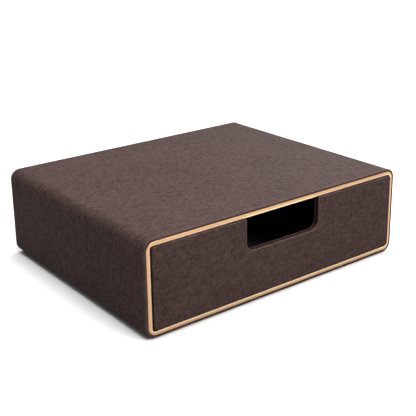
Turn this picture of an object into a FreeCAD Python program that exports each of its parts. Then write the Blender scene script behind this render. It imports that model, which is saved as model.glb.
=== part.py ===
# File box with a drawer: a leather-covered sleeve case that is open at the front, a gilt trim frame
# round the opening, and a tray-like drawer with a finger notch in its front.
#
# Millimetres. X runs across the front, Y from the front to the rear, Z up from the surface that the
# box stands on; the origin is under the middle of the box. Every "y" of an outline drawn on an XZ
# plane is a height. An inset is measured inwards from the leather outside of the case.
import FreeCAD, Part

import math
import os

import Sketcher
from FreeCAD import Vector

PARTS_FOLDER = "parts"

# Driving dimensions: alias, value, meaning.
SIZES = (
    ("case_width", "330", "outside width of the case"),
    ("case_depth", "268", "from the face of the front panel to the rear of the case"),
    ("case_height", "98", "from the floor to the top of the case"),
    ("corner_radius", "11", "outside radius of the four long edges"),
    ("leather_thick", "1.0", "leather of the case"),
    ("leather_edge_round", "0.8", "rounding of a leather edge that is turned over a board"),
    ("board_thick", "5.2", "boards of the case"),
    ("lining_thick", "0.4", "velvet lining of the case"),
    ("butt_seam_gap", "0.3", "gap where the case leather meets itself underneath"),
    ("back_recess", "0.4", "how far the rear panel lies inside the turned-over leather"),
    ("back_seam_gap", "0.2", "gap round the leather of the rear panel"),
    ("base_cloth_thick", "0.8", "felt that the box stands on"),
    ("base_cloth_margin", "14", "from the outside of the case to the edge of the felt"),
    ("base_cloth_radius", "6", "corner radius of the felt"),
    ("trim_inset", "2.4", "leather rim left showing outside the trim"),
    ("trim_height", "1.2", "crown of the trim above its seat"),
    ("trim_edge_height", "0.7", "outer and inner edge of the trim above its seat"),
    ("trim_bevel", "1.2", "width of the trim's two bevels"),
    ("trim_corner_radius", "3", "inside corners of the trim"),
    ("drawer_side_gap", "0.9", "play at each side of the drawer"),
    ("drawer_floor_gap", "0.3", "play under the drawer"),
    ("drawer_rear_gap", "0.3", "play behind the closed drawer"),
    ("panel_top_gap", "0.5", "gap over the front panel"),
    ("panel_bottom_gap", "2.0", "gap under the front panel"),
    ("panel_proud", "2.3", "how far the front panel stands out from the crown of the trim"),
    ("panel_board_thick", "3.0", "board of the front panel"),
    ("panel_leather_thick", "0.9", "leather of the front panel"),
    ("panel_corner_radius", "3.4", "outside corners of the front panel"),
    ("panel_overhang", "2.0", "how far the front panel stands above the walls of the tray"),
    ("wall_thick", "3", "boards of the tray"),
    ("tray_leather_thick", "0.6", "leather of the tray"),
    ("tray_lining_thick", "0.4", "velvet lining of the tray"),
    ("tray_edge_radius", "2.0", "outside radius of the tray's lower long edges"),
    ("notch_width", "96", "finger notch, side to side"),
    ("notch_depth", "34.2", "finger notch, down from the top of the front panel"),
    ("notch_radius", "10", "lower corners of the finger notch"),
)

# Insets of the layers of the sleeve.
BOARD_OUTSIDE = "Sizes.leather_thick"
BOARD_INSIDE = "(Sizes.leather_thick + Sizes.board_thick)"
LINING_INSIDE = "(Sizes.leather_thick + Sizes.board_thick + Sizes.lining_thick)"

# Places along Y, front to rear.
PANEL_FRONT = "(-Sizes.case_depth / 2)"
CROWN = f"({PANEL_FRONT} + Sizes.panel_proud)"
SLEEVE_FRONT = f"({CROWN} + Sizes.trim_height)"
LEATHER_FRONT = f"({SLEEVE_FRONT} - Sizes.leather_thick)"
PANEL_BOARD_FRONT = f"({PANEL_FRONT} + Sizes.panel_leather_thick)"
TRAY_FRONT = f"({PANEL_BOARD_FRONT} + Sizes.panel_board_thick)"
TRAY_FRONT_INSIDE = f"({TRAY_FRONT} + Sizes.wall_thick)"
LEATHER_REAR = "(Sizes.case_depth / 2)"
SLEEVE_REAR = f"({LEATHER_REAR} - Sizes.leather_thick)"
BACK_LEATHER_FRONT = f"({SLEEVE_REAR} - Sizes.back_recess)"
BACK_BOARD_FRONT = f"({BACK_LEATHER_FRONT} - Sizes.board_thick)"
BACK_LINING_FRONT = f"({BACK_BOARD_FRONT} - Sizes.lining_thick)"
TRAY_REAR = f"({BACK_LINING_FRONT} - Sizes.drawer_rear_gap)"
TRAY_BOARD_REAR = f"({TRAY_REAR} - Sizes.tray_leather_thick)"
TRAY_REAR_INSIDE = f"({TRAY_BOARD_REAR} - Sizes.wall_thick)"

# Half widths of the drawer.
PANEL_HALF = f"(Sizes.case_width / 2 - {LINING_INSIDE} - Sizes.drawer_side_gap)"
TRAY_BOARD_HALF = f"({PANEL_HALF} - Sizes.tray_leather_thick)"
TRAY_INSIDE_HALF = f"({TRAY_BOARD_HALF} - Sizes.wall_thick)"
TRAY_LINED_HALF = f"({TRAY_INSIDE_HALF} - Sizes.tray_lining_thick)"

# Heights of the drawer.
OPENING_BOTTOM = f"(Sizes.base_cloth_thick + {LINING_INSIDE})"
OPENING_TOP = f"(Sizes.case_height - {LINING_INSIDE})"
PANEL_BOTTOM = f"({OPENING_BOTTOM} + Sizes.panel_bottom_gap)"
PANEL_TOP = f"({OPENING_TOP} - Sizes.panel_top_gap)"
TRAY_BOTTOM = f"({OPENING_BOTTOM} + Sizes.drawer_floor_gap)"
TRAY_BOARD_BOTTOM = f"({TRAY_BOTTOM} + Sizes.tray_leather_thick)"
TRAY_FLOOR = f"({TRAY_BOARD_BOTTOM} + Sizes.wall_thick)"
TRAY_LINED_FLOOR = f"({TRAY_FLOOR} + Sizes.tray_lining_thick)"
TRAY_TOP = f"({PANEL_TOP} - Sizes.panel_overhang)"
TRAY_BOARD_TOP = f"({TRAY_TOP} - Sizes.tray_leather_thick)"
NOTCH_HALF = "(Sizes.notch_width / 2)"
NOTCH_BOTTOM = f"({PANEL_TOP} - Sizes.notch_depth)"

MITRE_COSINE = math.cos(math.radians(45))

document = FreeCAD.newDocument("file_box")
sizes = document.addObject("Spreadsheet::Sheet", "Sizes")
for row, (alias, value, meaning) in enumerate(SIZES, start=1):
    sizes.set(f"A{row}", meaning)
    sizes.set(f"B{row}", value)
    sizes.setAlias(f"B{row}", alias)
document.recompute()


def number(expression):
    """The value of an expression, as a plain number."""
    return float(sizes.evalExpression(expression))


# ---- Sketches and features ----

def new_body(label, y_place):
    """A body whose own origin lies at y_place, with its sketches drawn from there."""
    body = document.addObject("PartDesign::Body", label)
    body.Label = label
    body.setExpression("Placement.Base.y", y_place)
    return body


def new_sketch(body, name, plane_role="XZ_Plane", rearwards=None):
    """A sketch on one of the body's origin planes, moved rearwards along Y where that is given."""
    plane = next(part for part in body.Origin.OriginFeatures if part.Role == plane_role)
    sketch = body.newObject("Sketcher::SketchObject", name)
    sketch.AttachmentSupport = [(plane, "")]
    sketch.MapMode = "FlatFace"
    if rearwards:
        sketch.setExpression("AttachmentOffset.Base.z", f"-({rearwards})")
    return sketch


def add_length(sketch, kind, first, first_point, second, second_point, expression):
    """A driving length of the sketch, bound to an expression."""
    if kind == "Radius":
        constraint = Sketcher.Constraint(kind, second, number(expression))
    else:
        constraint = Sketcher.Constraint(kind, first, first_point, second, second_point, number(expression))
    index = sketch.addConstraint(constraint)
    name = f"{kind.lower()}_{index}"
    sketch.renameConstraint(index, name)
    sketch.setExpression(f"Constraints.{name}", expression)


def add_corner(sketch, line, next_line, corner, way_in, way_out, radius):
    """A rounded corner between two lines: an arc that is tangent to both, with its radius bound."""
    reach = number(radius)
    centre = corner + (way_out - way_in) * reach
    left_turn = way_in.cross(way_out).z > 0
    start = corner - way_in * reach if left_turn else corner + way_out * reach
    start_angle = math.atan2(start.y - centre.y, start.x - centre.x)
    circle = Part.Circle(centre, Vector(0, 0, 1), reach)
    arc = sketch.addGeometry(Part.ArcOfCircle(circle, start_angle, start_angle + math.pi / 2), False)
    arc_in, arc_out = (1, 2) if left_turn else (2, 1)
    sketch.addConstraint(Sketcher.Constraint("Tangent", line, 2, arc, arc_in))
    sketch.addConstraint(Sketcher.Constraint("Tangent", arc, arc_out, next_line, 1))
    add_length(sketch, "Radius", None, None, arc, None, radius)


def draw_outline(sketch, walls, radii=None):
    """Close an outline of upright and level lines.

    walls lists, anticlockwise, ("x", place) for an upright line and ("y", place) for a level one;
    radii gives the radius of corner k, between wall k and the next, and a corner without one is sharp.
    """
    radii = radii or {}
    places = [number(place) for axis, place in walls]
    count = len(walls)
    corners = []
    for k, (axis, place) in enumerate(walls):
        following = places[(k + 1) % count]
        corners.append(Vector(places[k], following) if axis == "x" else Vector(following, places[k]))
    ways = [(corners[k] - corners[k - 1]).normalize() for k in range(count)]
    reach = [number(radii[k]) if k in radii else 0 for k in range(count)]
    lines = []
    for k, (axis, place) in enumerate(walls):
        start = corners[k - 1] + ways[k] * reach[k - 1]
        end = corners[k] - ways[k] * reach[k]
        line = sketch.addGeometry(Part.LineSegment(start, end), False)
        lines.append(line)
        sketch.addConstraint(Sketcher.Constraint("Vertical" if axis == "x" else "Horizontal", line))
        add_length(sketch, f"Distance{axis.upper()}", -1, 1, line, 1, place)
    for k in range(count):
        following = (k + 1) % count
        if k in radii:
            add_corner(sketch, lines[k], lines[following], corners[k], ways[k], ways[following], radii[k])
        else:
            sketch.addConstraint(Sketcher.Constraint("Coincident", lines[k], 2, lines[following], 1))


def add_pad(body, name, sketch, length, rearwards=True):
    """Material from the sketch over a length, rearwards from an XZ plane or up from an XY plane."""
    pad = body.newObject("PartDesign::Pad", name)
    pad.Profile = sketch
    pad.Reversed = rearwards
    pad.setExpression("Length", length)
    sketch.Visibility = False
    return pad


def add_pocket(body, name, sketch, length):
    """A recess from the sketch rearwards over a length; it has to take material away."""
    document.recompute()
    volume_before = body.Shape.Volume
    pocket = body.newObject("PartDesign::Pocket", name)
    pocket.Profile = sketch
    pocket.setExpression("Length", length)
    document.recompute()
    if not body.Shape.Volume < volume_before:
        raise RuntimeError(f"{body.Label}: {name} takes nothing away")
    return pocket


def outer_rim(body, y_local):
    """Names of the edges round the outside of the body's end face at a place along its own Y."""
    document.recompute()
    shape = body.Tip.Shape
    flat = [face for face in shape.Faces if abs(face.BoundBox.YMin - y_local) < 0.001
            and face.BoundBox.YLength < 0.001]
    rim = max(flat, key=lambda face: face.BoundBox.DiagonalLength).OuterWire.Edges
    return [f"Edge{k}" for k, edge in enumerate(shape.Edges, start=1) if any(edge.isSame(part) for part in rim)]


def add_edge_feature(body, kind, name, edges, **expressions):
    """A fillet or chamfer on named edges of what the body has so far."""
    feature = body.newObject(f"PartDesign::{kind}", name)
    feature.Base = (body.Tip if body.Tip != feature else feature.BaseFeature, edges)
    for size, expression in expressions.items():
        feature.setExpression(size, expression)
    return feature


# ---- Outlines ----

def rectangle(half_width, bottom, top):
    """Walls of a rectangle about the middle: right, top, left, bottom."""
    return (("x", half_width), ("y", top), ("x", f"-({half_width})"), ("y", bottom))


def span(left, right, bottom, top):
    """Walls of a rectangle between two uprights: right, top, left, bottom."""
    return (("x", right), ("y", top), ("x", left), ("y", bottom))


def case_outline(inset):
    """Walls of the case's front outline, moved in by an inset."""
    return rectangle(f"Sizes.case_width / 2 - {inset}", f"Sizes.base_cloth_thick + {inset}",
                     f"Sizes.case_height - {inset}")


def all_corners(radius):
    """The same radius at the four corners of a rectangle."""
    return {corner: radius for corner in range(4)}


def notched_outline(half_width, bottom, top, offset):
    """Walls of a drawer front with the finger notch in its top edge, the notch widened by an offset."""
    notch_half = f"({NOTCH_HALF} + {offset})"
    notch_bottom = f"({NOTCH_BOTTOM} - {offset})"
    return (("x", half_width), ("y", top), ("x", notch_half), ("y", notch_bottom),
            ("x", f"-{notch_half}"), ("y", top), ("x", f"-({half_width})"), ("y", bottom))


def notch_radii(offset, corner=None):
    """Radii of the notch's lower corners, and of the front's outside corners where they are rounded."""
    radii = {2: f"Sizes.notch_radius + {offset}", 3: f"Sizes.notch_radius + {offset}"}
    if corner:
        radii.update({outside: corner for outside in (0, 5, 6, 7)})
    return radii


# ---- Pieces ----

def sheet_piece(label, y_front, y_rear, walls, radii=None):
    """A board or lining: one outline on the XZ plane, carried rearwards to y_rear."""
    body = new_body(label, y_front)
    outline = new_sketch(body, f"{label}_outline")
    draw_outline(outline, walls, radii)
    add_pad(body, f"{label}_pad", outline, f"{y_rear} - {y_front}")
    return body


def mitred_board(label, level, side):
    """One board of the sleeve: mitred at both ends, with its share of the rounded long edges.

    level is True for the top and bottom boards and False for the upright ones; side is 1 for the top
    or right board and -1 for the bottom or left one. Each mitre lies on the line from the inside corner
    of the sleeve through the centre of the rounding.
    """
    radius = f"(Sizes.corner_radius - {BOARD_OUTSIDE})"
    middle = "((Sizes.case_height + Sizes.base_cloth_thick) / 2)"
    half_across = "(Sizes.case_width / 2)"
    half_up = "((Sizes.case_height - Sizes.base_cloth_thick) / 2)"
    along, away = (half_across, half_up) if level else (half_up, half_across)

    def place(along_side, along_inset, away_inset):
        """A point of the outline as (x, y) expressions, from its insets along and across the board."""
        along_place = f"{along_side} * ({along} - {along_inset})"
        away_place = f"{side} * ({away} - {away_inset})"
        x, y = (along_place, away_place) if level else (away_place, along_place)
        return x, f"{middle} + {y}"

    centre_inset = "Sizes.corner_radius"
    mitre_inset = f"({centre_inset} - {radius} * {MITRE_COSINE})"
    points = [place(-1, BOARD_INSIDE, BOARD_INSIDE), place(1, BOARD_INSIDE, BOARD_INSIDE),
              place(1, mitre_inset, mitre_inset), place(1, centre_inset, BOARD_OUTSIDE),
              place(-1, centre_inset, BOARD_OUTSIDE), place(-1, mitre_inset, mitre_inset)]
    centres = {2: place(1, centre_inset, centre_inset), 4: place(-1, centre_inset, centre_inset)}

    body = new_body(label, SLEEVE_FRONT)
    outline = new_sketch(body, f"{label}_outline")
    spots = [Vector(number(x), number(y)) for x, y in points]
    edges = []
    for k, spot in enumerate(spots):
        next_spot = spots[(k + 1) % len(spots)]
        if k in centres:
            centre = Vector(*(number(part) for part in centres[k]))
            bulge = centre + ((spot + next_spot) / 2 - centre).normalize() * number(radius)
            curve = Part.Arc(spot, bulge, next_spot)
        else:
            curve = Part.LineSegment(spot, next_spot)
        edges.append(outline.addGeometry(curve, False))
    ends = {}
    for k, edge in enumerate(edges):
        start = outline.getPoint(edge, 1)
        runs_on = (start - spots[k]).Length < 0.0001
        ends[k] = (1, 2) if runs_on else (2, 1)
    for k, edge in enumerate(edges):
        following = (k + 1) % len(edges)
        joint = Sketcher.Constraint("Coincident", edge, ends[k][1], edges[following], ends[following][0])
        outline.addConstraint(joint)
        add_length(outline, "DistanceX", -1, 1, edge, ends[k][0], points[k][0])
        add_length(outline, "DistanceY", -1, 1, edge, ends[k][0], points[k][1])
        if k in centres:
            add_length(outline, "Radius", None, None, edge, None, radius)
    add_pad(body, f"{label}_pad", outline, f"{SLEEVE_REAR} - {SLEEVE_FRONT}")
    return body


def case_leather_wrap():
    """The sheet round the sleeve: turned over the board ends in front and behind, butted underneath."""
    label = "case_leather_wrap"
    length = f"({LEATHER_REAR} - {LEATHER_FRONT})"
    body = new_body(label, LEATHER_FRONT)

    outside = new_sketch(body, "wrap_outside")
    draw_outline(outside, case_outline("0"), all_corners("Sizes.corner_radius"))
    add_pad(body, "wrap_block", outside, length)
    rims = outer_rim(body, 0) + outer_rim(body, number(length))
    add_edge_feature(body, "Fillet", "wrap_turned_edges", rims,
                     Radius="min(Sizes.leather_edge_round; Sizes.leather_thick * 0.95)")

    rear_opening = new_sketch(body, "wrap_rear_opening")
    draw_outline(rear_opening, case_outline(BOARD_INSIDE))
    add_pocket(body, "wrap_through", rear_opening, length)

    front_opening = new_sketch(body, "wrap_front_opening")
    draw_outline(front_opening, case_outline("Sizes.trim_inset"),
                 all_corners("Sizes.corner_radius - Sizes.trim_inset"))
    add_pocket(body, "wrap_front_lip", front_opening, "Sizes.leather_thick")

    boards = new_sketch(body, "wrap_boards", rearwards="Sizes.leather_thick")
    draw_outline(boards, case_outline(BOARD_OUTSIDE), all_corners(f"Sizes.corner_radius - {BOARD_OUTSIDE}"))
    add_pocket(body, "wrap_board_space", boards, f"{SLEEVE_REAR} - {SLEEVE_FRONT}")

    seam = new_sketch(body, "wrap_seam")
    draw_outline(seam, rectangle("Sizes.butt_seam_gap / 2", "Sizes.base_cloth_thick / 2",
                                 "(Sizes.case_height / 2)"))
    add_pocket(body, "wrap_butt_seam", seam, length)
    return body


def front_trim():
    """The frame round the opening: a flat crown between two bevels, with tighter inside corners."""
    body = new_body("front_trim", CROWN)
    ring = new_sketch(body, "trim_ring")
    draw_outline(ring, case_outline("Sizes.trim_inset"), all_corners("Sizes.corner_radius - Sizes.trim_inset"))
    draw_outline(ring, case_outline(LINING_INSIDE), all_corners("Sizes.trim_corner_radius"))
    add_pad(body, "trim_band", ring, "Sizes.trim_height")
    document.recompute()
    shape = body.Tip.Shape
    crown_edges = [f"Edge{k}" for k, edge in enumerate(shape.Edges, start=1) if edge.BoundBox.YMax < 0.001]
    bevel = add_edge_feature(body, "Chamfer", "trim_bevels", crown_edges,
                             Size="Sizes.trim_height - Sizes.trim_edge_height",
                             Size2=f"min(Sizes.trim_bevel; ({LINING_INSIDE} - Sizes.trim_inset) * 0.4)")
    bevel.ChamferType = "Two distances"
    return body


def drawer_front_leather():
    """The skin of the front panel: over its face and round every edge, the notch's among them."""
    body = new_body("drawer_front_leather", PANEL_FRONT)
    outside = new_sketch(body, "panel_outside")
    draw_outline(outside, notched_outline(PANEL_HALF, PANEL_BOTTOM, PANEL_TOP, "0"),
                 notch_radii("0", corner="Sizes.panel_corner_radius"))
    add_pad(body, "panel_block", outside, f"{TRAY_FRONT} - {PANEL_FRONT}")
    add_edge_feature(body, "Fillet", "panel_turned_edges", outer_rim(body, 0),
                     Radius="min(Sizes.leather_edge_round; Sizes.panel_leather_thick * 0.95)")
    board = new_sketch(body, "panel_board_outline", rearwards="Sizes.panel_leather_thick")
    draw_outline(board, *panel_board_outline())
    add_pocket(body, "panel_board_space", board, "Sizes.panel_board_thick")
    return body


def panel_board_outline():
    """Walls and radii of the front panel's board, one leather inside the panel."""
    skin = "Sizes.panel_leather_thick"
    walls = notched_outline(f"({PANEL_HALF} - {skin})", f"({PANEL_BOTTOM} + {skin})",
                            f"({PANEL_TOP} - {skin})", skin)
    return walls, notch_radii(skin, corner=f"max(Sizes.panel_corner_radius - {skin}; 0.5)")


def drawer_front_wall_leather():
    """The strip turned over the front wall: along its top edge and round the notch."""
    skin = "Sizes.tray_leather_thick"
    over, under = TRAY_TOP, TRAY_BOARD_TOP
    wide_half, wide_bottom = f"({NOTCH_HALF} + {skin})", f"({NOTCH_BOTTOM} - {skin})"
    walls = (("x", TRAY_INSIDE_HALF), ("y", over), ("x", NOTCH_HALF), ("y", NOTCH_BOTTOM),
             ("x", f"-{NOTCH_HALF}"), ("y", over), ("x", f"-{TRAY_INSIDE_HALF}"), ("y", under),
             ("x", f"-{wide_half}"), ("y", wide_bottom), ("x", wide_half), ("y", under))
    inner, outer = "Sizes.notch_radius", f"Sizes.notch_radius + {skin}"
    return sheet_piece("drawer_front_wall_leather", TRAY_FRONT, TRAY_FRONT_INSIDE, walls,
                       {2: inner, 3: inner, 8: outer, 9: outer})


def drawer_leather():
    """The skin outside the tray: sides, bottom and back, turned over the tops of the walls."""
    skin = "Sizes.tray_leather_thick"
    board_radius = f"max(Sizes.tray_edge_radius - {skin}; 0.2)"
    body = new_body("drawer_leather", TRAY_FRONT)
    section = new_sketch(body, "tray_skin_section")
    walls = (("x", PANEL_HALF), ("y", TRAY_TOP), ("x", TRAY_INSIDE_HALF), ("y", TRAY_BOARD_TOP),
             ("x", TRAY_BOARD_HALF), ("y", TRAY_BOARD_BOTTOM), ("x", f"-{TRAY_BOARD_HALF}"),
             ("y", TRAY_BOARD_TOP), ("x", f"-{TRAY_INSIDE_HALF}"), ("y", TRAY_TOP),
             ("x", f"-{PANEL_HALF}"), ("y", TRAY_BOTTOM))
    draw_outline(section, walls, {4: board_radius, 5: board_radius, 10: "Sizes.tray_edge_radius",
                                  11: "Sizes.tray_edge_radius"})
    add_pad(body, "tray_skin_sides", section, f"{TRAY_REAR} - {TRAY_FRONT}")

    rear = new_sketch(body, "tray_skin_rear_outline", rearwards=f"{TRAY_BOARD_REAR} - {TRAY_FRONT}")
    draw_outline(rear, rectangle(PANEL_HALF, TRAY_BOTTOM, TRAY_TOP),
                 {2: "Sizes.tray_edge_radius", 3: "Sizes.tray_edge_radius"})
    add_pad(body, "tray_skin_rear", rear, skin)

    rear_cap = new_sketch(body, "tray_skin_rear_cap_outline", rearwards=f"{TRAY_REAR_INSIDE} - {TRAY_FRONT}")
    draw_outline(rear_cap, rectangle(PANEL_HALF, TRAY_BOARD_TOP, TRAY_TOP))
    add_pad(body, "tray_skin_rear_cap", rear_cap, f"{TRAY_REAR} - {TRAY_REAR_INSIDE}")
    return body


def base_cloth():
    """The felt under the case, with rounded corners, up to the case leather."""
    body = new_body("base_cloth", "0")
    outline = new_sketch(body, "base_cloth_outline", "XY_Plane")
    half_width = "(Sizes.case_width / 2 - Sizes.base_cloth_margin)"
    margin = "Sizes.base_cloth_margin"
    draw_outline(outline, rectangle(half_width, f"({LEATHER_FRONT} + {margin})", f"({LEATHER_REAR} - {margin})"),
                 all_corners("Sizes.base_cloth_radius"))
    add_pad(body, "base_cloth_pad", outline, "Sizes.base_cloth_thick", rearwards=False)
    return body


def case_pieces():
    """Boards, leather, trim, linings and base of the case."""
    inside_half = f"(Sizes.case_width / 2 - {BOARD_INSIDE})"
    lined_half = f"(Sizes.case_width / 2 - {LINING_INSIDE})"
    inside_bottom = f"(Sizes.base_cloth_thick + {BOARD_INSIDE})"
    inside_top = f"(Sizes.case_height - {BOARD_INSIDE})"
    gap = "Sizes.back_seam_gap"
    linings = {
        "floor": span(f"-{inside_half}", inside_half, inside_bottom, OPENING_BOTTOM),
        "ceiling": span(f"-{inside_half}", inside_half, OPENING_TOP, inside_top),
        "left": span(f"-{inside_half}", f"-{lined_half}", OPENING_BOTTOM, OPENING_TOP),
        "right": span(lined_half, inside_half, OPENING_BOTTOM, OPENING_TOP),
    }
    pieces = [
        mitred_board("case_top_board", level=True, side=1),
        mitred_board("case_bottom_board", level=True, side=-1),
        mitred_board("case_left_board", level=False, side=-1),
        mitred_board("case_right_board", level=False, side=1),
        sheet_piece("case_back_board", BACK_BOARD_FRONT, BACK_LEATHER_FRONT,
                    rectangle(inside_half, inside_bottom, inside_top)),
        case_leather_wrap(),
        sheet_piece("case_back_leather", BACK_LEATHER_FRONT, f"({LEATHER_REAR} - Sizes.back_recess)",
                    rectangle(f"({inside_half} - {gap})", f"({inside_bottom} + {gap})",
                              f"({inside_top} - {gap})")),
        front_trim(),
        sheet_piece("case_lining_back", BACK_LINING_FRONT, BACK_BOARD_FRONT,
                    rectangle(lined_half, OPENING_BOTTOM, OPENING_TOP)),
        base_cloth(),
    ]
    for side, walls in linings.items():
        pieces.append(sheet_piece(f"case_lining_{side}", SLEEVE_FRONT, BACK_BOARD_FRONT, walls))
    return pieces


def drawer_pieces():
    """Front panel, boards, leather and linings of the drawer."""
    skin = "Sizes.tray_leather_thick"
    lining = "Sizes.tray_lining_thick"
    lower_radius = f"max(Sizes.tray_edge_radius - {skin}; 0.2)"
    panel_board_walls, panel_board_radii = panel_board_outline()
    pieces = [
        drawer_front_leather(),
        sheet_piece("drawer_front_board", PANEL_BOARD_FRONT, TRAY_FRONT, panel_board_walls, panel_board_radii),
        sheet_piece("drawer_front_wall", TRAY_FRONT, TRAY_FRONT_INSIDE,
                    notched_outline(TRAY_BOARD_HALF, TRAY_FLOOR, TRAY_BOARD_TOP, skin), notch_radii(skin)),
        drawer_front_wall_leather(),
        drawer_leather(),
        sheet_piece("drawer_bottom_board", TRAY_FRONT, TRAY_BOARD_REAR,
                    rectangle(TRAY_BOARD_HALF, TRAY_BOARD_BOTTOM, TRAY_FLOOR),
                    {2: lower_radius, 3: lower_radius}),
        sheet_piece("drawer_back_wall", TRAY_REAR_INSIDE, TRAY_BOARD_REAR,
                    rectangle(TRAY_INSIDE_HALF, TRAY_FLOOR, TRAY_BOARD_TOP)),
        sheet_piece("drawer_lining_floor", TRAY_FRONT_INSIDE, TRAY_REAR_INSIDE,
                    rectangle(TRAY_INSIDE_HALF, TRAY_FLOOR, TRAY_LINED_FLOOR)),
        sheet_piece("drawer_lining_front", TRAY_FRONT_INSIDE, f"({TRAY_FRONT_INSIDE} + {lining})",
                    notched_outline(TRAY_LINED_HALF, TRAY_LINED_FLOOR, TRAY_BOARD_TOP, skin),
                    notch_radii(skin)),
        sheet_piece("drawer_lining_back", f"({TRAY_REAR_INSIDE} - {lining})", TRAY_REAR_INSIDE,
                    rectangle(TRAY_LINED_HALF, TRAY_LINED_FLOOR, TRAY_BOARD_TOP)),
    ]
    for side, wall, covered in (("left", (f"-{TRAY_BOARD_HALF}", f"-{TRAY_INSIDE_HALF}"),
                                 (f"-{TRAY_INSIDE_HALF}", f"-{TRAY_LINED_HALF}")),
                                ("right", (TRAY_INSIDE_HALF, TRAY_BOARD_HALF),
                                 (TRAY_LINED_HALF, TRAY_INSIDE_HALF))):
        pieces.append(sheet_piece(f"drawer_{side}_wall", TRAY_FRONT_INSIDE, TRAY_BOARD_REAR,
                                  span(*wall, TRAY_FLOOR, TRAY_BOARD_TOP)))
        pieces.append(sheet_piece(f"drawer_lining_{side}", TRAY_FRONT_INSIDE, TRAY_REAR_INSIDE,
                                  span(*covered, TRAY_LINED_FLOOR, TRAY_BOARD_TOP)))
    return pieces


# ---- Build, check and write ----

def check_document():
    """Stop if an object of the document failed to build."""
    for item in document.Objects:
        if "Invalid" in item.State or "Error" in item.State:
            raise RuntimeError(f"{item.Label} did not build: {item.State}")


def check_piece(piece):
    """Stop if a piece is empty, broken or not one solid."""
    shape = piece.Shape
    if shape.isNull() or not shape.isValid():
        raise RuntimeError(f"{piece.Label} has no valid shape")
    if len(shape.Solids) != 1:
        raise RuntimeError(f"{piece.Label} has {len(shape.Solids)} solids")


all_pieces = case_pieces() + drawer_pieces()
document.recompute()
check_document()
os.makedirs(PARTS_FOLDER, exist_ok=True)
for piece in all_pieces:
    check_piece(piece)
    piece.Shape.exportStep(os.path.join(PARTS_FOLDER, f"{piece.Label}.step"))
print(f"{len(all_pieces)} pieces written")
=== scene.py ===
from functools import partial, wraps
from math import cos, pi, radians, sin

import bmesh
import bpy
import numpy as np
from bpy.props import FloatProperty, FloatVectorProperty, PointerProperty
from mathutils import Matrix, Vector


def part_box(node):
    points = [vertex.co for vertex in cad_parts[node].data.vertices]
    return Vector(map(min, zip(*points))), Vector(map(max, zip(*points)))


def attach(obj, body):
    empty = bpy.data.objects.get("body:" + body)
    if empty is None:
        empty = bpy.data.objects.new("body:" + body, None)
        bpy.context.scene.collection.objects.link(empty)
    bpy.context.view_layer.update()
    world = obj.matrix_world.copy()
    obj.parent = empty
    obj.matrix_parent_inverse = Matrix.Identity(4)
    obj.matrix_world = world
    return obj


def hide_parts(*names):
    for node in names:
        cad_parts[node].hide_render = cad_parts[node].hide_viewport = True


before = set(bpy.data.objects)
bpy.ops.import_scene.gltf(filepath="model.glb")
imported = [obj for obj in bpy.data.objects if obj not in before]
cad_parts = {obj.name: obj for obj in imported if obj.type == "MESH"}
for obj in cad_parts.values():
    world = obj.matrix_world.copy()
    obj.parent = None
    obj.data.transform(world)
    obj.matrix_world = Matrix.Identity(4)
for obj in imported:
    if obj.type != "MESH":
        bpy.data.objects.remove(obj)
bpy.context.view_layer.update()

# Finish of the file box: linen-embossed leather on case and drawer, the gilt trim, velvet and felt, and
# the studio round it. Metres, in the frame of the packed model: X across the front, Y from the front to
# the rear, Z up from the surface that the box stands on.
#
# Every new skin is a surface of two parameters: u runs along a path (round the case, round the drawer
# front, or along a sheet) and v along a profile that the path carries. Both are computed as whole arrays.
# Each point of a skin also has a mark of wear and painted light: above 0 it is painted paler, as wear
# and as a painted highlight; below 0 it is painted dark, as painted shade in creases and in the gap
# round the drawer.

bl_info = {
    "name": "File Box Finish",
    "version": (1, 0, 0),
    "blender": (4, 5, 0),
    "location": "View3D > Sidebar > File Box",
    "description": "Leather, gilt trim, velvet and felt of a file box with a drawer, and its studio",
    "category": "Object",
}

MM = 0.001
FRAME_SIDE_PX = 416
SENSOR_WIDTH_MM = 36.0
QUARTER = pi / 2


# ---- Settings ----

def setting(make=FloatProperty, **kind):
    """A kind of setting, which is then given its name, description and default."""
    return lambda name, description, default: make(name=name, description=description, default=default,
                                                   **kind)


length = setting(min=0.0, unit="LENGTH", precision=5)
share = setting(min=0.0, max=1.0, subtype="FACTOR")
watts = setting(min=0.0, unit="POWER")
angle = setting(subtype="ANGLE")
pixels = setting(min=0.0)
colour = setting(FloatVectorProperty, size=3, min=0.0, max=1.0, subtype="COLOR")


def chosen(kind):
    """The scene's settings of a kind: form, leather, trim, cloth or studio."""
    return getattr(bpy.context.scene, "file_box_" + kind)


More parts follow.
